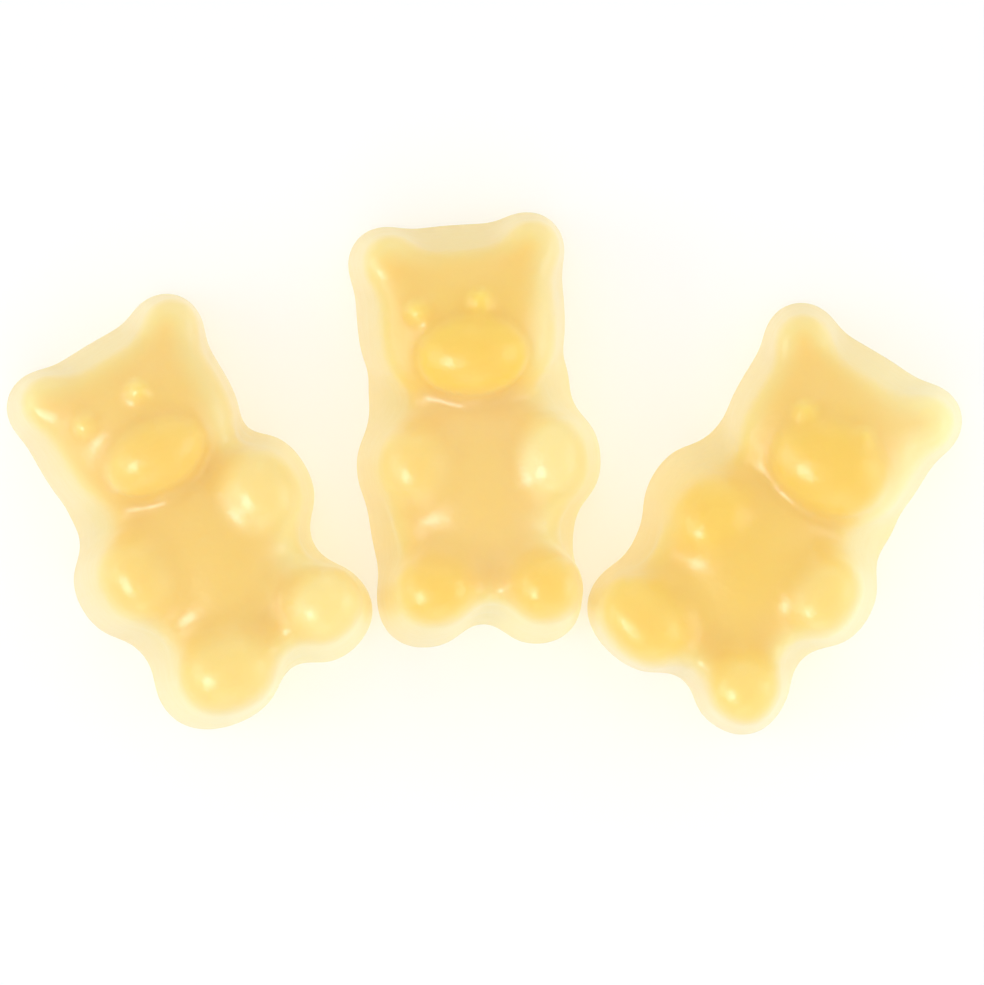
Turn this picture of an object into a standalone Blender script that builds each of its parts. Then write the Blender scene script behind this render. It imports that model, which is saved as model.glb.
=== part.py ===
"""Three gummy bears lying on their flat backs, feet together, each one solid of starch-moulded jelly.

Metres, +Z up. The backs lie on z = 0 and the origin is under the middle of the group.
Each bear is described upright in its own frame, in millimetres: x to the right of the picture,
y from the feet to the ears, z from the flat back to the front. The jelly is poured into a
mould, so every form is a gumdrop: widest at the back, narrower at the front, with a round rim.
"""

import math
from collections import namedtuple

import bmesh
import bpy
from mathutils import Matrix, Vector

MM = 0.001

# How finely the jelly is modelled, in millimetres, and how many triangles a bear keeps.
VOXEL = 0.26
SMOOTH_FACTOR = 0.5
SMOOTH_STEPS = 6
FILL_SMOOTH_STEPS = 3
TRIANGLES_PER_BEAR = 4200
RING_POINTS = 40
RIM_SEGMENTS = 5
BALL_RINGS = 20

# The forms start this far below the back, so that smoothing leaves the back's edge crisp.
UNDERSIDE = -1.6

# The creases between the forms are filled to these radii, as wet starch takes no sharp edge.
HEAD_FILLET = 0.8
BODY_FILLET = 1.0
CHIN_FILLET = 0.5

# Heights of the front of each form above the flat back, in millimetres.
EAR_HEIGHT = 6.5
BROW_HEIGHT = 7.0
FACE_HEIGHT = 7.8
NECK_HEIGHT = 5.8
CHEST_HEIGHT = 6.6
BELLY_HEIGHT = 7.8
PAW_HEIGHT = 8.3
FOOT_HEIGHT = 8.9
# An eye stands this far proud of the face.
EYE_PROUD = 0.5

# The lean of a bear is how far its front is shifted at this height.
LEAN_HEIGHT = 8.0

# A gumdrop has a centre and half widths at the back, and the same at the front.
# square is 2 for an ellipse, and more for an outline nearer a rectangle.
Gumdrop = namedtuple("Gumdrop", "back back_size front front_size height rim square turn")
Ball = namedtuple("Ball", "centre size height")
Limb = namedtuple("Limb", "root root_size pad pad_size turn")
Bear = namedtuple("Bear", "name place turn lean head face ears neck trunk snout eyes arms legs")

BEARS = (
    Bear(
        name="bear_left",
        place=(-14.8, -2.07),
        turn=31.0,
        lean=(0.55, 0.0),
        head=(0.0, 5.45),
        face=(0.1, 5.0),
        ears=((-3.4, 8.25), (3.75, 8.4)),
        neck=(-0.4, 2.6, 4.75),
        trunk=(-0.5, -2.4, 5.15, 6.4),
        snout=Ball((-0.3, 3.4), (2.7, 1.9, 1.8), 8.9),
        eyes=((-2.5, 6.35), (0.6, 6.5)),
        arms=(
            Limb((-4.7, -1.4), (2.3, 2.6), (-4.2, -1.5), (1.75, 2.1), 0.0),
            Limb((4.1, -0.8), (2.2, 2.7), (3.1, -1.0), (1.9, 2.1), 0.0),
        ),
        legs=(
            Limb((-2.85, -7.6), (3.2, 2.65), (-2.75, -7.75), (2.4, 2.05), -12.0),
            Limb((3.25, -7.65), (2.5, 2.4), (3.0, -7.35), (1.95, 1.75), 18.0),
        ),
    ),
    Bear(
        name="bear_middle",
        place=(-0.71, 1.93),
        turn=4.0,
        lean=(0.4, 0.0),
        head=(-0.05, 6.1),
        face=(0.0, 5.35),
        ears=((-3.6, 8.75), (3.45, 9.0)),
        neck=(0.1, 2.4, 5.05),
        trunk=(-0.2, -2.6, 5.15, 6.7),
        snout=Ball((0.05, 3.95), (2.8, 2.1, 1.8), 9.0),
        eyes=((-2.5, 6.2), (0.6, 6.6)),
        arms=(
            Limb((-3.7, -1.4), (2.1, 2.4), (-3.1, -1.4), (1.75, 2.0), 0.0),
            Limb((4.35, -1.5), (2.1, 2.5), (3.6, -1.5), (1.65, 2.1), 0.0),
        ),
        legs=(
            Limb((-2.85, -8.0), (2.4, 2.5), (-2.6, -7.6), (1.95, 1.75), 0.0),
            Limb((2.75, -8.2), (2.3, 2.5), (2.9, -7.8), (1.8, 1.75), 0.0),
        ),
    ),
    Bear(
        name="bear_right",
        place=(14.74, -2.4),
        turn=-31.0,
        lean=(0.1, -0.15),
        head=(-0.1, 5.35),
        face=(0.0, 4.75),
        ears=((-3.7, 8.3), (3.6, 8.0)),
        neck=(0.0, 2.2, 5.15),
        trunk=(-0.6, -2.4, 5.25, 6.4),
        snout=Ball((0.5, 3.9), (3.2, 2.55, 1.8), 8.6),
        eyes=((-1.8, 5.4), (1.2, 5.7)),
        arms=(
            Limb((-4.3, -1.2), (2.35, 2.7), (-2.9, -1.5), (1.8, 2.1), 0.0),
            Limb((4.0, -1.9), (2.3, 2.6), (3.7, -2.0), (1.6, 2.1), 0.0),
        ),
        legs=(
            Limb((-3.4, -7.55), (3.0, 2.5), (-3.4, -7.65), (2.5, 1.95), -14.0),
            Limb((2.6, -8.0), (2.35, 2.45), (2.6, -7.9), (1.75, 1.75), 0.0),
        ),
    ),
)

# Sizes that the three bears share, in millimetres: half widths unless named otherwise.
HEAD_BACK = (5.2, 4.4)
HEAD_FRONT = (4.25, 3.55)
HEAD_RIM = 1.1
HEAD_SQUARE = 2.9
FACE_SIZE = (4.0, 3.3)
FACE_DEPTH = 1.7
EAR_BACK = (1.95, 1.95)
EAR_FRONT = (1.4, 1.4)
EAR_RIM = 0.75
EAR_SQUARE = 2.0
EYE_SIZE = 0.65
NECK_BACK_LENGTH = 2.6
NECK_FRONT = (2.9, 1.6)
NECK_RIM = 1.0
NECK_SQUARE = 2.4
TRUNK_FRONT = (3.7, 5.0)
TRUNK_RIM = 1.4
TRUNK_SQUARE = 2.8
BELLY_SIZE = (4.4, 5.2)
BELLY_DEPTH = 2.6
BELLY_DROP = 0.3
LIMB_SQUARE = 2.2
# Rims of a paw and of a sole are rounded over this share of their smaller half width.
PAD_RIM_SHARE = 0.88

JELLY_COLOUR = (0.93, 0.62, 0.17, 1.0)
JELLY_ROUGHNESS = 0.35


def clear_scene():
    for obj in list(bpy.data.objects):
        bpy.data.objects.remove(obj, do_unlink=True)


def jelly_material():
    """Pale yellow gelatine jelly with a waxed, softly shining skin."""
    material = bpy.data.materials.new("pale_yellow_jelly")
    material.use_nodes = True
    shader = material.node_tree.nodes["Principled BSDF"]
    shader.inputs["Base Color"].default_value = JELLY_COLOUR
    shader.inputs["Roughness"].default_value = JELLY_ROUGHNESS
    shader.inputs["Metallic"].default_value = 0.0
    return material


def rounded(angle, half, square):
    """The point of a rounded rectangle's outline at an angle round its centre."""
    across, along = math.cos(angle), math.sin(angle)
    power = 2.0 / square
    return (
        half[0] * math.copysign(abs(across) ** power, across),
        half[1] * math.copysign(abs(along) ** power, along),
    )


def turned(point, degrees):
    angle = math.radians(degrees)
    return (
        point[0] * math.cos(angle) - point[1] * math.sin(angle),
        point[0] * math.sin(angle) + point[1] * math.cos(angle),
    )


def leaned(x, y, z, lean):
    """A point of a leaning bear: the higher it is, the further it shifts."""
    share = z / LEAN_HEIGHT
    return Vector((x + lean[0] * share, y + lean[1] * share, z))


def add_gumdrop(bm, drop, lean):
    """A tapered drum from below the back to the front, with its front rim rounded over."""
    made = bmesh.ops.create_cone(
        bm, cap_ends=True, segments=RING_POINTS, radius1=1.0, radius2=1.0, depth=1.0
    )
    verts = made["verts"]
    rim = []
    # The wall runs on below the back at the same slope.
    reach = (drop.height - UNDERSIDE) / drop.height
    for vert in verts:
        angle = math.atan2(vert.co.y, vert.co.x)
        front = vert.co.z > 0.0
        fx, fy = turned(rounded(angle, drop.front_size, drop.square), drop.turn)
        fx, fy = fx + drop.front[0], fy + drop.front[1]
        if front:
            vert.co = leaned(fx, fy, drop.height, lean)
            rim.append(vert)
            continue
        bx, by = turned(rounded(angle, drop.back_size, drop.square), drop.turn)
        bx, by = bx + drop.back[0], by + drop.back[1]
        x, y = fx + (bx - fx) * reach, fy + (by - fy) * reach
        vert.co = leaned(x, y, UNDERSIDE, lean)
    ends = set(rim)
    edges = [e for v in rim for e in v.link_edges if e.other_vert(v) in ends]
    bmesh.ops.bevel(
        bm,
        geom=list(dict.fromkeys(edges)),
        offset=drop.rim,
        segments=RIM_SEGMENTS,
        profile=0.5,
        affect="EDGES",
    )


def add_ball(bm, ball, lean):
    """An egg whose front reaches the named height."""
    half_width, half_length, half_depth = ball.size
    made = bmesh.ops.create_uvsphere(
        bm, u_segments=RING_POINTS, v_segments=BALL_RINGS, radius=1.0
    )
    for vert in made["verts"]:
        x = ball.centre[0] + vert.co.x * half_width
        y = ball.centre[1] + vert.co.y * half_length
        z = ball.height + (vert.co.z - 1.0) * half_depth
        vert.co = leaned(x, y, z, lean)


def head_forms(bear):
    """The head's block, its domed face and its two ears."""
    forms = [
        Gumdrop(
            bear.head, HEAD_BACK, bear.face, HEAD_FRONT,
            BROW_HEIGHT, HEAD_RIM, HEAD_SQUARE, 0.0,
        ),
        Ball(bear.face, (*FACE_SIZE, FACE_DEPTH), FACE_HEIGHT),
    ]
    for ear in bear.ears:
        forms.append(Gumdrop(ear, EAR_BACK, ear, EAR_FRONT, EAR_HEIGHT, EAR_RIM, EAR_SQUARE, 0.0))
    return forms


def face_height(bear, point):
    """How high the dome of the face is at a point."""
    across = (point[0] - bear.face[0]) / FACE_SIZE[0]
    along = (point[1] - bear.face[1]) / FACE_SIZE[1]
    dome = math.sqrt(max(0.0, 1.0 - across**2 - along**2))
    return max(BROW_HEIGHT, FACE_HEIGHT - FACE_DEPTH * (1.0 - dome))


def small_forms(bear):
    """The oval snout and the two small eyes."""
    size = (EYE_SIZE, EYE_SIZE, EYE_SIZE)
    eyes = [Ball(eye, size, face_height(bear, eye) + EYE_PROUD) for eye in bear.eyes]
    return [bear.snout, *eyes]


def body_forms(bear):
    """The neck, the trunk with its round belly, two arms with paws and two legs with soles."""
    neck_x, neck_y, neck_half = bear.neck
    trunk_x, trunk_y, *trunk_back = bear.trunk
    neck, trunk = (neck_x, neck_y), (trunk_x, trunk_y)
    belly = (trunk_x, trunk_y - BELLY_DROP)
    neck_back = (neck_half, NECK_BACK_LENGTH)
    forms = [
        Gumdrop(neck, neck_back, neck, NECK_FRONT, NECK_HEIGHT, NECK_RIM, NECK_SQUARE, 0.0),
        Gumdrop(trunk, trunk_back, trunk, TRUNK_FRONT, CHEST_HEIGHT, TRUNK_RIM, TRUNK_SQUARE, 0.0),
        Ball(belly, (*BELLY_SIZE, BELLY_DEPTH), BELLY_HEIGHT),
    ]
    for limbs, height in ((bear.arms, PAW_HEIGHT), (bear.legs, FOOT_HEIGHT)):
        for limb in limbs:
            rim = PAD_RIM_SHARE * min(limb.pad_size)
            forms.append(
                Gumdrop(
                    limb.root, limb.root_size, limb.pad, limb.pad_size,
                    height, rim, LIMB_SQUARE, limb.turn,
                )
            )
    return forms


def modified(obj, kind, **settings):
    """Adds a modifier and applies it, so that the object's mesh is its result."""
    modifier = obj.modifiers.new(kind.lower(), kind)
    for name, value in settings.items():
        setattr(modifier, name, value)
    graph = bpy.context.evaluated_depsgraph_get()
    mesh = bpy.data.meshes.new_from_object(obj.evaluated_get(graph))
    obj.modifiers.clear()
    obj.data = mesh


def cut_flat_back(mesh):
    """Cuts off what lies below the back and closes the cut with a flat face."""
    bm = bmesh.new()
    bm.from_mesh(mesh)
    cut = bmesh.ops.bisect_plane(
        bm,
        geom=bm.verts[:] + bm.edges[:] + bm.faces[:],
        dist=1e-7,
        plane_co=(0.0, 0.0, 0.0),
        plane_no=(0.0, 0.0, 1.0),
        clear_inner=True,
    )
    edges = [item for item in cut["geom_cut"] if isinstance(item, bmesh.types.BMEdge)]
    bmesh.ops.holes_fill(bm, edges=edges, sides=0)
    bmesh.ops.remove_doubles(bm, verts=bm.verts, dist=2e-5)
    bmesh.ops.triangulate(bm, faces=bm.faces[:])
    bmesh.ops.recalc_face_normals(bm, faces=bm.faces)
    bm.to_mesh(mesh)
    bm.free()


def add_forms(mesh, forms, lean):
    """Adds forms to what a mesh holds, which they may reach into."""
    bm = bmesh.new()
    for form in forms:
        if isinstance(form, Gumdrop):
            add_gumdrop(bm, form, lean)
        else:
            add_ball(bm, form, lean)
    bmesh.ops.scale(bm, vec=(MM, MM, MM), verts=bm.verts)
    bm.from_mesh(mesh)
    bm.to_mesh(mesh)
    bm.free()


def add_mesh(mesh, other):
    """Adds another mesh to what a mesh holds."""
    bm = bmesh.new()
    bm.from_mesh(mesh)
    bm.from_mesh(other)
    bm.to_mesh(mesh)
    bm.free()


def melt(obj, fillet):
    """Melts what an object holds into one skin whose creases are filled to a radius.

    The skin is blown up by the radius and let down again, which closes the creases for good.
    """
    modified(obj, "REMESH", mode="VOXEL", voxel_size=VOXEL * MM)
    for strength in (fillet, -fillet):
        modified(obj, "DISPLACE", strength=strength * MM, mid_level=0.0)
        modified(obj, "REMESH", mode="VOXEL", voxel_size=VOXEL * MM)
        modified(obj, "SMOOTH", factor=SMOOTH_FACTOR, iterations=FILL_SMOOTH_STEPS)


def melted(name, forms, lean, fillet, collection):
    """A new object made of forms melted into one skin."""
    obj = bpy.data.objects.new(name, bpy.data.meshes.new(name))
    collection.objects.link(obj)
    add_forms(obj.data, forms, lean)
    melt(obj, fillet)
    return obj


def make_bear(bear, collection, material):
    """One bear as one closed solid, lying in its place in the group."""
    head = melted("head", head_forms(bear), bear.lean, HEAD_FILLET, collection)
    obj = melted(bear.name, body_forms(bear), bear.lean, BODY_FILLET, collection)
    add_mesh(obj.data, head.data)
    bpy.data.objects.remove(head)
    melt(obj, CHIN_FILLET)
    add_forms(obj.data, small_forms(bear), bear.lean)
    modified(obj, "REMESH", mode="VOXEL", voxel_size=VOXEL * MM)
    modified(obj, "SMOOTH", factor=SMOOTH_FACTOR, iterations=SMOOTH_STEPS)
    triangles = sum(len(face.vertices) - 2 for face in obj.data.polygons)
    modified(obj, "DECIMATE", ratio=TRIANGLES_PER_BEAR / triangles)
    cut_flat_back(obj.data)

    place = Matrix.Translation((bear.place[0] * MM, bear.place[1] * MM, 0.0))
    obj.matrix_world = place @ Matrix.Rotation(math.radians(bear.turn), 4, "Z")
    obj.data.name = bear.name
    obj.data.materials.clear()
    obj.data.materials.append(material)
    obj.data.shade_smooth()
    return obj


def main():
    clear_scene()
    collection = bpy.data.collections.new("gummy_bears")
    bpy.context.scene.collection.children.link(collection)
    material = jelly_material()
    for bear in BEARS:
        make_bear(bear, collection, material)


main()
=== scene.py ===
"""The looks of three gummy bears: pale yellow gelatine jelly on a white studio table.

Laid out as a Blender add-on and run as a script. Each bear is modelled upright in its own frame,
in millimetres: x to the right, y from the feet to the ears, z from the flat back to the front.
It is then scaled to metres, turned, and laid where the frame holds its solid.
"""

import math
from collections import namedtuple

import bmesh
import bpy
import numpy as np
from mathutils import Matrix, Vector
from mathutils.kdtree import KDTree


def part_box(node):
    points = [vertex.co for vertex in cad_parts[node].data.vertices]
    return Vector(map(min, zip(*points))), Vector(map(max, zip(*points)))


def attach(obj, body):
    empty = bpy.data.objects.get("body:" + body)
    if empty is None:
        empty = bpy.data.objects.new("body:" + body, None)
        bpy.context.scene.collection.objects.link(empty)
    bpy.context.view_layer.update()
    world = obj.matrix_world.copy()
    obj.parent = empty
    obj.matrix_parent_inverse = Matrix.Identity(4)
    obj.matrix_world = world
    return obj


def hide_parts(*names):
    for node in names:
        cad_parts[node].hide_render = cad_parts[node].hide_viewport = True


bl_info = {
    "name": "Gummy Bears",
    "version": (1, 0, 0),
    "blender": (4, 5, 0),
    "location": "View3D > Sidebar > Gummy Bears",
    "description": "Three pale yellow gummy bears on a white studio table",
    "category": "Add Mesh",
}

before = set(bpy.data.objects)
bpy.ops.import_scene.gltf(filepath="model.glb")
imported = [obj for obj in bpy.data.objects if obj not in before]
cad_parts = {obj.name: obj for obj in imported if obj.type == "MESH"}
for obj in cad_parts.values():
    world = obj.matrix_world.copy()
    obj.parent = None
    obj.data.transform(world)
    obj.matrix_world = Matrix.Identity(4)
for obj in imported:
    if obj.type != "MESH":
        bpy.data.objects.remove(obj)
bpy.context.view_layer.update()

MM = 0.001

# The forms start this far below the back, in millimetres, so that smoothing leaves its edge crisp.
UNDERSIDE = -1.6
# Only the edge round the flat back is sharper than this.
BACK_EDGE_ANGLE = math.radians(50.0)
# The lean of a bear is how far its front is shifted at this height, in millimetres.
LEAN_HEIGHT = 8.0
# The creases between the forms are filled to these radii, as a starch mould has no sharp edge.
HEAD_FILLET = 0.8
BODY_FILLET = 1.0
CHIN_FILLET = 0.5
SNOUT_FILLET = 0.4
# The large forms melt in cells of this many millimetres, and each skin is smoothed as often as this.
COARSE_VOXEL = 0.2
SMOOTH_FACTOR = 0.5
FILL_SMOOTH_STEPS = 6
SMOOTH_STEPS = 16
# How fine the forms are before they melt.
RING_POINTS = 64
RIM_SEGMENTS = 8
BALL_RINGS = 28
# The outline of a bear is the foot of its walls: skin as steep as this, no higher than this. How far
# a point lies inside it is the mean distance to this many of its nearest points.
OUTLINE_STEEP = 0.7
OUTLINE_HEIGHT = 0.5
OUTLINE_POINTS = 12

# Where the jelly's colours start and end, in millimetres: heights are above the flat back, reaches
# are inwards from the outline, and the head starts this far above the middle of the bear.
GOLDEN_HEIGHTS = (6.9, 9.4)
HEAD_START = (1.9, 2.7)
SHALLOW_HEIGHTS = (6.9, 5.0)
SHALLOW_MOST = 0.6
SOAK_HEIGHTS = (0.0, 1.6)
# The pale walls and rim are partly thin jelly and partly painted light shining through from the white
# table.
WALL_HEIGHTS = (9.0, 7.2)
WALL_REACH = (2.3, 0.9)
RIM_REACH = (1.5, 0.1)
# Walls that face the top of the picture catch little low light, so less of the pale wall colour is
# painted on them: a painted shade.
TOP_WALL_SHADE = 0.7
# Light crosses a bear this way and comes out of it on the far side, where its jelly is painted paler:
# a painted glow.
LEAVING = np.array((0.92, -0.39))
LEAVING_ACROSS = 5.0
LEAVING_REACH = (4.2, 0.6)
LEAVING_HEIGHTS = (7.8, 6.7)
LEAVING_MOST = 0.7
# A limb that light comes out of is painted pale over its pad, a painted glow, from the first to the
# second share of its size.
PALE_REACH = (1.3, 0.6)

# The shared forms, in millimetres: half widths and half lengths, and the depths of the balls.
HEAD_BACK = (5.2, 4.4)
HEAD_FRONT = (4.25, 3.55)
HEAD_RIM = 1.1
HEAD_SQUARE = 2.9
FACE_SIZE = (4.0, 3.3)
FACE_DEPTH = 1.7
EAR_BACK = (1.95, 1.95)
EAR_FRONT = (1.4, 1.4)
EAR_RIM = 0.75
EAR_SQUARE = 2.0
EYE_SIZE = 0.65
EYE_PROUD = 0.5
NECK_BACK_LENGTH = 2.6
NECK_FRONT = (2.9, 1.6)
NECK_RIM = 1.0
NECK_SQUARE = 2.4
TRUNK_FRONT = (3.7, 5.0)
TRUNK_RIM = 1.4
TRUNK_SQUARE = 2.8
BELLY_SIZE = (4.4, 5.2)
BELLY_DEPTH = 2.6
BELLY_DROP = 0.3
LIMB_SQUARE = 2.2
# Rims of a paw and of a sole are rounded over this share of their smaller half width.
PAD_RIM_SHARE = 0.88

# The jelly's finish: its refraction, how far red, green and blue wander in it, and how its oil varies.
JELLY_IOR = 1.45
GLOW_SHARES = (0.9, 0.95, 1.0)
FOOT_GLOW = 0.06
ROUGHNESS_SPREAD = 0.04
CLOUD_DETAIL = 2.0

# The stage, in metres.
TABLE_SIZE = 6.0
TABLE_ROUGHNESS = 0.9
TABLE_SHINE = 0.1
WHITE = (1.0, 1.0, 1.0, 1.0)
KEY_PLACE = (-0.25, -0.15, 0.36)
KEY_SIZE = 0.15
PANEL_DISTANCE = 0.45
PANEL_HEIGHT = 0.24
PANEL_SIZE = 0.3
# The low panels round the table: their sides of it, and their shares of light.
PANELS = (
    ("left_panel", -1.0, 0.0, 2.0),
    ("right_panel", 1.0, 0.0, 2.0),
    ("far_panel", 0.0, 1.0, 0.6),
    ("near_panel", 0.0, -1.0, 1.2),
)
# The middle of the picture on the table, in millimetres.
PICTURE_MIDDLE = (0.375, -0.953)
SENSOR_WIDTH_MM = 36.0
NEAREST_SEEN = 0.01
FURTHEST_SEEN = 10.0

# A gumdrop has a centre and half sizes at the back, and the same at the front. Its square is 2 for
# an ellipse, and more for a rounded rectangle.
Gumdrop = namedtuple("Gumdrop", "back back_size front front_size height rim square turn")
# A ball has half sizes, and its front reaches its height.
Ball = namedtuple("Ball", "centre size height")
# A limb is painted as pale as the share of the light that comes out of it: a painted glow.
Limb = namedtuple("Limb", "root root_size pad pad_size turn pale")
# A bear's neck and trunk are a centre and half sizes. Its golden is how deep its colour is on the
# snout and soles, all over the head, and all over the body.
Bear = namedtuple("Bear", "name turn lean golden head face ears neck trunk snout eyes arms legs")

# The bears in millimetres, as each came out of its mould and was squashed a little in the bag.
BEARS = (
    Bear(
        name="bear_left",
        turn=31.0,
        lean=(0.55, 0.0),
        golden=(0.6, 0.2, 0.25),
        head=(0.0, 5.45),
        face=(0.1, 5.0),
        ears=((-3.4, 8.25), (3.75, 8.4)),
        neck=(-0.4, 2.6, 4.75),
        trunk=(-0.5, -2.4, 5.15, 6.4),
        snout=Ball((-0.3, 3.4), (2.7, 1.9, 1.8), 8.9),
        eyes=((-2.5, 6.35), (0.6, 6.5)),
        arms=(
            Limb((-4.7, -1.4), (2.3, 2.6), (-4.2, -1.5), (1.75, 2.1), 0.0, 0.15),
            Limb((4.1, -0.8), (2.2, 2.7), (3.1, -1.0), (1.9, 2.1), 0.0, 0.4),
        ),
        legs=(
            Limb((-2.85, -7.6), (3.2, 2.65), (-2.75, -7.75), (2.4, 2.05), -12.0, 0.35),
            Limb((3.25, -7.65), (2.5, 2.4), (3.0, -7.35), (1.95, 1.75), 18.0, 0.55),
        ),
    ),
    Bear(
        name="bear_middle",
        turn=4.0,
        lean=(0.4, 0.0),
        golden=(1.0, 0.45, 0.0),
        head=(-0.05, 6.1),
        face=(0.0, 5.35),
        ears=((-3.6, 8.75), (3.45, 9.0)),
        neck=(0.1, 2.4, 5.05),
        trunk=(-0.2, -2.6, 5.15, 6.7),
        snout=Ball((0.05, 3.95), (2.8, 2.1, 1.8), 9.0),
        eyes=((-2.5, 6.2), (0.6, 6.6)),
        arms=(
            Limb((-3.7, -1.4), (2.1, 2.4), (-3.1, -1.4), (1.75, 2.0), 0.0, 0.15),
            Limb((4.35, -1.5), (2.1, 2.5), (3.6, -1.5), (1.65, 2.1), 0.0, 0.65),
        ),
        legs=(
            Limb((-2.85, -8.0), (2.4, 2.5), (-2.6, -7.6), (1.95, 1.75), 0.0, 0.0),
            Limb((2.75, -8.2), (2.3, 2.5), (2.9, -7.8), (1.8, 1.75), 0.0, 0.0),
        ),
    ),
    Bear(
        name="bear_right",
        turn=-31.0,
        lean=(0.1, -0.15),
        golden=(1.0, 0.35, 0.5),
        head=(-0.1, 5.35),
        face=(0.0, 4.75),
        ears=((-3.7, 8.3), (3.6, 8.0)),
        neck=(0.0, 2.2, 5.15),
        trunk=(-0.6, -2.4, 5.25, 6.4),
        snout=Ball((0.5, 3.9), (3.2, 2.55, 1.8), 8.6),
        eyes=((-1.8, 5.4), (1.2, 5.7)),
        arms=(
            Limb((-4.3, -1.2), (2.35, 2.7), (-2.9, -1.5), (1.8, 2.1), 0.0, 0.0),
            Limb((4.0, -1.9), (2.3, 2.6), (3.7, -2.0), (1.6, 2.1), 0.0, 0.35),
        ),
        legs=(
            Limb((-3.4, -7.55), (3.0, 2.5), (-3.4, -7.65), (2.5, 1.95), -14.0, 0.1),
            Limb((2.6, -8.0), (2.35, 2.45), (2.6, -7.9), (1.75, 1.75), 0.0, 0.3),
        ),
    ),
)


def linear(hex_colour):
    """An sRGB hex colour as linear red, green and blue, by the sRGB standard's formula."""
    parts = [int(hex_colour[start : start + 2], 16) / 255.0 for start in (1, 3, 5)]
    return tuple(
        part / 12.92 if part <= 0.04045 else ((part + 0.055) / 1.055) ** 2.4 for part in parts
    )


def length(default, name, description):
    """A size property in metres whose default is given in millimetres."""
    return bpy.props.FloatProperty(
        name=name, description=description, default=default * MM, unit="LENGTH", precision=5
    )


def colour(default, name, description):
    """A colour property whose default is an sRGB hex value."""
    return bpy.props.FloatVectorProperty(
        name=name,
        description=description,
        default=linear(default),
        subtype="COLOR",
        min=0.0,
        max=1.0,
    )


class BearSizes(bpy.types.PropertyGroup):
    """Sizes that the bears share."""

    ear_height: length(6.5, "Ear height", "Front of the ears above the flat back")
    brow_height: length(7.0, "Brow height", "Edge of the face above the flat back")
    face_height: length(7.8, "Face height", "Middle of the face above the flat back")
    neck_height: length(5.8, "Neck height", "Front of the neck above the flat back")
    chest_height: length(6.6, "Chest height", "Edge of the trunk above the flat back")
    belly_height: length(7.8, "Belly height", "Middle of the belly above the flat back")
    paw_height: length(8.3, "Paw height", "Front of the paws above the flat back")
    foot_height: length(8.9, "Foot height", "Soles of the feet above the flat back")
    voxel: length(0.13, "Fineness", "Size of the cells that melt the forms into one skin")


class JellyLook(bpy.types.PropertyGroup):
    """The jelly's colours and shine."""

    # Rim: partly the thinnest jelly's own colour, partly painted light from the white table.
    rim: colour("#f0deab", "Rim", "Colour of the thinnest jelly, where the outer walls meet the table")
    # Thin jelly: the shallow jelly's own colour, and on the walls partly painted light shining
    # through.
    thin: colour("#efdc96", "Thin jelly", "Colour of the outer walls, which light shines through")
    middle: colour("#f4d386", "Jelly", "Colour of the front, where the jelly is of middling depth")
    thick: colour("#f5d062", "Thick jelly", "Colour of the snout and the soles, the thickest jelly")
    # Painted glow: the tint painted where light comes out of the jelly.
    painted_glow: colour("#f9ebb0", "Lit jelly", "Colour of the jelly that the light comes out of")
    glow: length(1.5, "Glow depth", "How far light wanders inside the jelly")
    cloud: length(3.0, "Cloud size", "Size of the faint clouds in the jelly")
    uneven: length(1.1, "Dimple size", "Size of the soft dimples that the starch leaves")
    uneven_depth: length(0.05, "Dimple depth", "Depth of the soft dimples")
    grain: length(0.25, "Grain size", "Size of the fine grain of the starch")
    grain_depth: length(0.003, "Grain depth", "Depth of the fine grain")
    clouds: bpy.props.FloatProperty(
        name="Clouds", description="Strength of the faint clouds in the jelly", default=0.08,
        min=0.0, max=1.0, subtype="FACTOR",
    )
    roughness: bpy.props.FloatProperty(
        name="Roughness", description="Dullness of the polished skin", default=0.33,
        min=0.0, max=1.0, subtype="FACTOR",
    )


class StageLook(bpy.types.PropertyGroup):
    """The table, the lights and the camera."""

    table: colour("#f8fafd", "Table", "Colour of the white table")
    picture: length(49.2, "Picture width", "Width of the table that the camera sees")
    lens: bpy.props.FloatProperty(
        name="Lens", description="Focal length of the camera", default=800.0, unit="CAMERA"
    )
    room: bpy.props.FloatProperty(
        name="Room", description="Brightness of the white room all round", default=0.76
    )
    key: bpy.props.FloatProperty(
        name="Key light", description="Power of the soft box on the left", default=1.3,
        unit="POWER",
    )
    panel: bpy.props.FloatProperty(
        name="Low panels", description="Power of a low panel with a share of one", default=0.32,
        unit="POWER",
    )


def only(obj):
    """Selects one object alone and makes it active."""
    bpy.ops.object.select_all(action="DESELECT")
    obj.select_set(True)
    bpy.context.view_layer.objects.active = obj


def rounded(angle, half, square):
    """The point of a rounded rectangle's outline at an angle round its centre."""
    across, along = math.cos(angle), math.sin(angle)
    power = 2.0 / square
    return (
        half[0] * math.copysign(abs(across) ** power, across),
        half[1] * math.copysign(abs(along) ** power, along),
    )


def turned(point, degrees, centre):
    """A point that is given from a centre, turned about it."""
    angle = math.radians(degrees)
    return (
        point[0] * math.cos(angle) - point[1] * math.sin(angle) + centre[0],
        point[0] * math.sin(angle) + point[1] * math.cos(angle) + centre[1],
    )


def leaned(x, y, z, lean):
    """A point of a leaning bear: the higher it is, the further it shifts."""
    share = z / LEAN_HEIGHT
    return Vector((x + lean[0] * share, y + lean[1] * share, z))


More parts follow.
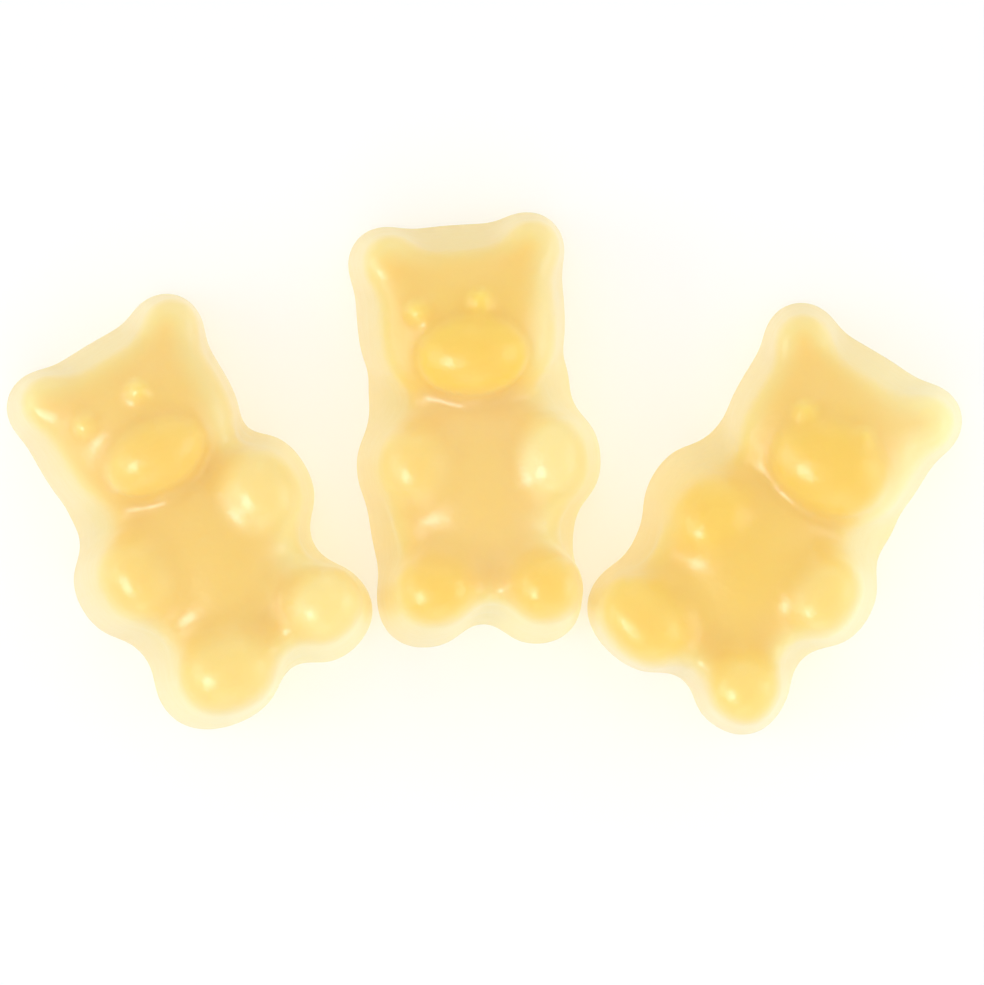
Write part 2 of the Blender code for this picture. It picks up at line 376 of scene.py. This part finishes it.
def add_gumdrop(drop, lean):
    """A tapered drum from below the flat back to the front, with its front rim rounded over."""
    bpy.ops.mesh.primitive_cylinder_add(vertices=RING_POINTS, radius=1.0, depth=1.0)
    obj = bpy.context.object
    # The wall runs on below the back at the same slope.
    reach = (drop.height - UNDERSIDE) / drop.height
    for vert in obj.data.vertices:
        angle = math.atan2(vert.co.y, vert.co.x)
        front = turned(rounded(angle, drop.front_size, drop.square), drop.turn, drop.front)
        if vert.co.z > 0.0:
            vert.co = leaned(*front, drop.height, lean)
            continue
        back = turned(rounded(angle, drop.back_size, drop.square), drop.turn, drop.back)
        foot = [near + (far - near) * reach for near, far in zip(front, back)]
        vert.co = leaned(*foot, UNDERSIDE, lean)
    bpy.ops.object.mode_set(mode="EDIT")
    bpy.ops.mesh.select_mode(type="EDGE")
    bpy.ops.mesh.select_all(action="DESELECT")
    cage = bmesh.from_edit_mesh(obj.data)
    for edge in cage.edges:
        edge.select_set(all(vert.co.z > 0.0 for vert in edge.verts))
    bmesh.update_edit_mesh(obj.data)
    bpy.ops.mesh.bevel(offset=drop.rim, segments=RIM_SEGMENTS, affect="EDGES")
    bpy.ops.object.mode_set(mode="OBJECT")
    return obj


def add_ball(ball, lean):
    """An egg whose front reaches the named height."""
    half_width, half_length, half_depth = ball.size
    centre = leaned(*ball.centre, ball.height - half_depth, lean)
    bpy.ops.mesh.primitive_uv_sphere_add(
        segments=RING_POINTS,
        ring_count=BALL_RINGS,
        radius=1.0,
        location=centre,
        scale=(half_width, half_length, half_depth),
    )
    return bpy.context.object


def head_forms(bear, sizes):
    """The head's block, its domed face and its two ears."""
    brow, ear_top = sizes.brow_height / MM, sizes.ear_height / MM
    forms = [
        Gumdrop(bear.head, HEAD_BACK, bear.face, HEAD_FRONT, brow, HEAD_RIM, HEAD_SQUARE, 0.0),
        Ball(bear.face, (*FACE_SIZE, FACE_DEPTH), sizes.face_height / MM),
    ]
    for ear in bear.ears:
        forms.append(Gumdrop(ear, EAR_BACK, ear, EAR_FRONT, ear_top, EAR_RIM, EAR_SQUARE, 0.0))
    return forms


def face_height(bear, sizes, point):
    """How high the dome of the face is at a point."""
    across = (point[0] - bear.face[0]) / FACE_SIZE[0]
    along = (point[1] - bear.face[1]) / FACE_SIZE[1]
    dome = math.sqrt(max(0.0, 1.0 - across**2 - along**2))
    return max(sizes.brow_height / MM, sizes.face_height / MM - FACE_DEPTH * (1.0 - dome))


def small_forms(bear, sizes):
    """The oval snout and the two small eyes."""
    size = (EYE_SIZE, EYE_SIZE, EYE_SIZE)
    eyes = [Ball(eye, size, face_height(bear, sizes, eye) + EYE_PROUD) for eye in bear.eyes]
    return [bear.snout, *eyes]


def body_forms(bear, sizes):
    """The neck, the trunk with its round belly, two arms with paws and two legs with soles."""
    neck_x, neck_y, neck_half = bear.neck
    trunk_x, trunk_y, *trunk_back = bear.trunk
    neck, trunk = (neck_x, neck_y), (trunk_x, trunk_y)
    belly = (trunk_x, trunk_y - BELLY_DROP)
    neck_back = (neck_half, NECK_BACK_LENGTH)
    neck_top, chest = sizes.neck_height / MM, sizes.chest_height / MM
    forms = [
        Gumdrop(neck, neck_back, neck, NECK_FRONT, neck_top, NECK_RIM, NECK_SQUARE, 0.0),
        Gumdrop(trunk, trunk_back, trunk, TRUNK_FRONT, chest, TRUNK_RIM, TRUNK_SQUARE, 0.0),
        Ball(belly, (*BELLY_SIZE, BELLY_DEPTH), sizes.belly_height / MM),
    ]
    for limbs, height in ((bear.arms, sizes.paw_height), (bear.legs, sizes.foot_height)):
        for limb in limbs:
            rim = PAD_RIM_SHARE * min(limb.pad_size)
            forms.append(
                Gumdrop(
                    limb.root, limb.root_size, limb.pad, limb.pad_size,
                    height / MM, rim, LIMB_SQUARE, limb.turn,
                )
            )
    return forms


def modify(obj, kind, **settings):
    """Adds a modifier with its settings and applies it."""
    only(obj)
    modifier = obj.modifiers.new(kind.lower(), kind)
    for name, value in settings.items():
        setattr(modifier, name, value)
    bpy.ops.object.modifier_apply(modifier=modifier.name)


def joined(objects, name):
    """Joins objects into the first one, with its transform applied."""
    bpy.ops.object.select_all(action="DESELECT")
    for obj in objects:
        obj.select_set(True)
    bpy.context.view_layer.objects.active = objects[0]
    bpy.ops.object.join()
    obj = bpy.context.object
    bpy.ops.object.transform_apply(location=True, rotation=True, scale=True)
    obj.name = obj.data.name = name
    return obj


def add_forms(forms, lean):
    """Adds each form as an object of its own, and gives them in a list."""
    made = []
    for form in forms:
        add = add_gumdrop if isinstance(form, Gumdrop) else add_ball
        made.append(add(form, lean))
    return made


def cut_flat_back(obj):
    """Cuts off what lies below the back and closes the cut with a flat face."""
    only(obj)
    bpy.ops.object.mode_set(mode="EDIT")
    bpy.ops.mesh.select_all(action="SELECT")
    bpy.ops.mesh.bisect(
        plane_co=(0.0, 0.0, 0.0), plane_no=(0.0, 0.0, 1.0), use_fill=True, clear_inner=True
    )
    bpy.ops.object.mode_set(mode="OBJECT")


def lay_down(obj, bear):
    """Scales a bear to metres, turns it, and lays it in the middle of its solid's box."""
    only(obj)
    obj.scale = (MM, MM, MM)
    obj.rotation_euler = (0.0, 0.0, math.radians(bear.turn))
    bpy.ops.object.transform_apply(location=True, rotation=True, scale=True)
    low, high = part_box(bear.name)
    across, along, up = zip(*(vert.co for vert in obj.data.vertices))
    obj.location = (
        (low[0] + high[0] - min(across) - max(across)) / 2,
        (low[1] + high[1] - min(along) - max(along)) / 2,
        -min(up),
    )
    bpy.ops.object.transform_apply(location=True, rotation=False, scale=False)


def store(mesh, name, values):
    """Keeps a value for each point of a mesh, which a material reads by its name."""
    mesh.attributes.new(name, "FLOAT", "POINT").data.foreach_set("value", values)


def eased(values, start, end):
    """A soft step from 0 at the start to 1 at the end, which may lie below it."""
    share = np.clip((values - start) / (end - start), 0.0, 1.0)
    return share**2 * (3.0 - 2.0 * share)


def measure_depth(obj, bear):
    """Stores where the skin lies over deep or shallow jelly, and painted glow on limbs, while the bear
    is upright.
    """
    points = np.array([vert.co for vert in obj.data.vertices])
    x, y, z = points.T
    store(obj.data, "shallow", SHALLOW_MOST * eased(z, *SHALLOW_HEIGHTS))
    front, head, body = bear.golden
    golden = front * eased(z, *GOLDEN_HEIGHTS) + body + (head - body) * eased(y, *HEAD_START)
    store(obj.data, "golden", np.minimum(golden, 1.0))
    # Painted glow: limbs that light comes out of are painted pale over their pads.
    pale = np.zeros(len(points))
    for limb in bear.arms + bear.legs:
        across = (x - limb.pad[0] - bear.lean[0] * z / LEAN_HEIGHT) / limb.pad_size[0]
        along = (y - limb.pad[1] - bear.lean[1] * z / LEAN_HEIGHT) / limb.pad_size[1]
        pale = np.maximum(pale, limb.pale * eased(np.hypot(across, along), *PALE_REACH))
    store(obj.data, "pale", pale)


def measure_outline(obj):
    """Stores how thin a bear is near its outline, painted shade on top-facing walls, and painted glow
    where light leaves.
    """
    mesh = obj.data
    points = np.array([vert.co for vert in mesh.vertices]) / MM
    normals = np.array([vert.normal for vert in mesh.vertices])
    height = points[:, 2]
    foot = (height < OUTLINE_HEIGHT) & (np.hypot(*normals[:, :2].T) > OUTLINE_STEEP)
    tree = KDTree(int(foot.sum()))
    for index, (x, y, _) in enumerate(points[foot]):
        tree.insert((x, y, 0.0), index)
    tree.balance()
    inward = np.empty(len(points))
    for index, (x, y, _) in enumerate(points):
        nearest = tree.find_n((x, y, 0.0), OUTLINE_POINTS)
        inward[index] = sum(distance for _, _, distance in nearest) / OUTLINE_POINTS
    # Painted shade: walls that face the top of the picture get less of the pale wall colour.
    facing_top = np.clip(normals[:, 1], 0.0, 1.0)
    low = eased(height, *WALL_HEIGHTS) * (1.0 - TOP_WALL_SHADE * facing_top)
    # The wall and rim colours are partly thin jelly and partly painted light shining through from the
    # table.
    store(mesh, "wall", low * eased(inward, *WALL_REACH))
    store(mesh, "rim", low * eased(inward, *RIM_REACH))
    store(mesh, "soak", eased(height, *SOAK_HEIGHTS))
    # Painted glow: the side of a bear away from the light is painted paler, as if light came out
    # there.
    middle = (points[:, :2].min(axis=0) + points[:, :2].max(axis=0)) / 2
    across = np.clip((points[:, :2] - middle) @ LEAVING / LEAVING_ACROSS, 0.0, 1.0)
    glow = across * eased(inward, *LEAVING_REACH) * eased(height, *LEAVING_HEIGHTS)
    store(mesh, "painted_far_glow", LEAVING_MOST * glow)


def add_node(nodes, kind, settings, inputs):
    """Adds a node with its settings, and its inputs set to a value or linked to another's output."""
    node = nodes.new(kind)
    for name, value in settings.items():
        setattr(node, name, value)
    for name, value in inputs.items():
        if isinstance(value, bpy.types.NodeSocket):
            nodes.id_data.links.new(value, node.inputs[name])
        else:
            node.inputs[name].default_value = value
    return node


def jelly(look):
    """Gelatine jelly, moulded in starch and polished with a little oil.

    Light soaks in and comes out again. The thick front is golden; the outer walls are pale partly as
    thin jelly and partly as painted light, and a painted glow lies where light comes out.
    """
    material = bpy.data.materials.new("gelatine_jelly_starch_moulded")
    material.use_nodes = True
    nodes = material.node_tree.nodes
    links = material.node_tree.links
    shader = nodes["Principled BSDF"]
    place = add_node(nodes, "ShaderNodeTexCoord", {}, {}).outputs["Object"]
    cloud = add_node(
        nodes, "ShaderNodeTexNoise", {},
        {"Vector": place, "Scale": 1.0 / look.cloud, "Detail": CLOUD_DETAIL},
    ).outputs["Fac"]

    # The colours are laid over one another, each where the skin was measured for it. The wall and rim
    # tints are partly painted light, and the pale and far-side tints are painted glow.
    skin = (*look.middle, 1.0)
    for name, tint in (
        ("shallow", look.thin),
        ("golden", look.thick),
        ("pale", look.painted_glow),
        ("wall", look.thin),
        ("rim", look.rim),
        ("painted_far_glow", look.painted_glow),
    ):
        share = add_node(nodes, "ShaderNodeAttribute", {"attribute_name": name}, {}).outputs["Fac"]
        skin = add_node(
            nodes, "ShaderNodeMix", {"data_type": "RGBA"},
            {"Factor": share, "A": skin, "B": (*tint, 1.0)},
        ).outputs["Result"]

    # Fine bubbles make faint paler clouds.
    bubbles = add_node(
        nodes, "ShaderNodeMapRange", {}, {"Value": cloud, "To Max": look.clouds}
    ).outputs["Result"]
    skin = add_node(
        nodes, "ShaderNodeMix", {"data_type": "RGBA"},
        {"Factor": bubbles, "A": skin, "B": (*look.rim, 1.0)},
    ).outputs["Result"]
    links.new(skin, shader.inputs["Base Color"])

    # The starch leaves the skin a little uneven, with a fine grain.
    normal = None
    for size, depth in ((look.uneven, look.uneven_depth), (look.grain, look.grain_depth)):
        noise = add_node(nodes, "ShaderNodeTexNoise", {}, {"Vector": place, "Scale": 1.0 / size})
        bump = add_node(
            nodes, "ShaderNodeBump", {}, {"Height": noise.outputs["Fac"], "Distance": depth}
        )
        if normal:
            links.new(normal, bump.inputs["Normal"])
        normal = bump.outputs["Normal"]
    links.new(normal, shader.inputs["Normal"])

    # The oil lies unevenly.
    oily = add_node(
        nodes, "ShaderNodeMapRange", {},
        {
            "Value": cloud,
            "To Min": look.roughness - ROUGHNESS_SPREAD,
            "To Max": look.roughness + ROUGHNESS_SPREAD,
        },
    )
    links.new(oily.outputs["Result"], shader.inputs["Roughness"])

    shader.inputs["IOR"].default_value = JELLY_IOR
    shader.inputs["Subsurface Weight"].default_value = 1.0
    shader.inputs["Subsurface Radius"].default_value = GLOW_SHARES

    # Close to the table the jelly has no depth for the light to wander in.
    soak = add_node(nodes, "ShaderNodeAttribute", {"attribute_name": "soak"}, {}).outputs["Fac"]
    wander = add_node(
        nodes, "ShaderNodeMapRange", {},
        {"Value": soak, "To Min": look.glow * FOOT_GLOW, "To Max": look.glow},
    )
    links.new(wander.outputs["Result"], shader.inputs["Subsurface Scale"])
    return material


def fill_creases(obj, radius, voxel):
    """Fills the creases with a round fillet: the skin is blown up, then let down again."""
    for strength in (radius, -radius):
        modify(obj, "DISPLACE", strength=strength, mid_level=0.0)
        modify(obj, "REMESH", mode="VOXEL", voxel_size=voxel)
        modify(obj, "SMOOTH", factor=SMOOTH_FACTOR, iterations=FILL_SMOOTH_STEPS)


def melted(parts, name, voxel, radius):
    """Melts forms or skins into one skin whose creases are filled to a radius."""
    skin = joined(parts, name)
    modify(skin, "REMESH", mode="VOXEL", voxel_size=voxel)
    fill_creases(skin, radius, voxel)
    return skin


def make_bear(bear, sizes, material):
    """One bear, as a single skin that stands for its plain solid."""
    name = bear.name + "_jelly"
    head = melted(add_forms(head_forms(bear, sizes), bear.lean), name, COARSE_VOXEL, HEAD_FILLET)
    body = melted(add_forms(body_forms(bear, sizes), bear.lean), name, COARSE_VOXEL, BODY_FILLET)
    body = melted([body, head], name, COARSE_VOXEL, CHIN_FILLET)
    small = add_forms(small_forms(bear, sizes), bear.lean)
    body = melted([body, *small], name, sizes.voxel / MM, SNOUT_FILLET)
    modify(body, "SMOOTH", factor=SMOOTH_FACTOR, iterations=SMOOTH_STEPS)
    cut_flat_back(body)
    measure_depth(body, bear)
    lay_down(body, bear)
    bpy.ops.object.shade_smooth_by_angle(angle=BACK_EDGE_ANGLE)
    measure_outline(body)
    body.data.materials.clear()
    body.data.materials.append(material)
    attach(body, "root")
    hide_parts(bear.name)


class SWEETS_OT_bears(bpy.types.Operator):
    """Models the three jelly bears in place of their plain solids"""

    bl_idname = "sweets.bears"
    bl_label = "Jelly Bears"

    def execute(self, context):
        sizes, look = context.scene.bear_sizes, context.scene.jelly_look
        material = jelly(look)
        for bear in BEARS:
            make_bear(bear, sizes, material)
        return {"FINISHED"}


def studio_light(name, place, size, power):
    """A square soft box that points at the bears, casts no shadow and stays out of the picture."""
    data = bpy.data.lights.new(name, "AREA")
    data.shape = "SQUARE"
    data.size = size
    data.energy = power
    data.use_shadow = False
    light = bpy.data.objects.new(name, data)
    light.location = place
    light.rotation_euler = (-Vector(place)).to_track_quat("-Z", "Y").to_euler()
    light.visible_camera = False
    bpy.context.scene.collection.objects.link(light)
    return light


class SWEETS_OT_stage(bpy.types.Operator):
    """Lays the white table, sets the soft lights and hangs the camera straight above"""

    bl_idname = "sweets.stage"
    bl_label = "Studio Table"

    def execute(self, context):
        scene = context.scene
        look = scene.stage_look
        bpy.ops.object.select_all(action="DESELECT")
        bpy.ops.mesh.primitive_plane_add(size=TABLE_SIZE, location=(0.0, 0.0, 0.0))
        table = context.object
        table.name = "table"
        material = bpy.data.materials.new("white_laminate_table")
        material.use_nodes = True
        shader = material.node_tree.nodes["Principled BSDF"]
        shader.inputs["Base Color"].default_value = (*look.table, 1.0)
        shader.inputs["Roughness"].default_value = TABLE_ROUGHNESS
        shader.inputs["Specular IOR Level"].default_value = TABLE_SHINE
        table.data.materials.append(material)

        world = bpy.data.worlds.new("white_room")
        scene.world = world
        world.use_nodes = True
        background = world.node_tree.nodes["Background"]
        background.inputs["Color"].default_value = WHITE
        background.inputs["Strength"].default_value = look.room

        key = studio_light("key_soft_box", KEY_PLACE, KEY_SIZE, look.key)
        key.visible_diffuse = False
        for name, x, y, share in PANELS:
            place = (x * PANEL_DISTANCE, y * PANEL_DISTANCE, PANEL_HEIGHT)
            studio_light(name, place, PANEL_SIZE, look.panel * share)

        optics = bpy.data.cameras.new("camera")
        optics.lens = look.lens
        optics.sensor_width = SENSOR_WIDTH_MM
        optics.clip_start = NEAREST_SEEN
        optics.clip_end = FURTHEST_SEEN
        camera = bpy.data.objects.new("camera", optics)
        camera.location = (
            PICTURE_MIDDLE[0] * MM,
            PICTURE_MIDDLE[1] * MM,
            look.picture * look.lens / optics.sensor_width,
        )
        scene.collection.objects.link(camera)
        scene.camera = camera

        scene.view_settings.view_transform = "Standard"
        return {"FINISHED"}


class SWEETS_PT_panel(bpy.types.Panel):
    """Lists the makers of the bears and their stage"""

    bl_idname = "SWEETS_PT_panel"
    bl_label = "Gummy Bears"
    bl_space_type = "VIEW_3D"
    bl_region_type = "UI"
    bl_category = "Gummy Bears"

    def draw(self, context):
        for group in (
            context.scene.bear_sizes,
            context.scene.jelly_look,
            context.scene.stage_look,
        ):
            box = self.layout.box()
            for name in group.__annotations__:
                box.prop(group, name)
        for maker in MAKERS:
            self.layout.operator(maker.bl_idname)


MAKERS = (SWEETS_OT_bears, SWEETS_OT_stage)
CLASSES = (BearSizes, JellyLook, StageLook, *MAKERS, SWEETS_PT_panel)


def register():
    for kind in CLASSES:
        bpy.utils.register_class(kind)
    scene = bpy.types.Scene
    scene.bear_sizes = bpy.props.PointerProperty(type=BearSizes)
    scene.jelly_look = bpy.props.PointerProperty(type=JellyLook)
    scene.stage_look = bpy.props.PointerProperty(type=StageLook)


def unregister():
    scene = bpy.types.Scene
    del scene.stage_look, scene.jelly_look, scene.bear_sizes
    for kind in reversed(CLASSES):
        bpy.utils.unregister_class(kind)


def main():
    register()
    bpy.ops.sweets.bears()
    bpy.ops.sweets.stage()


if __name__ == "__main__":
    main()
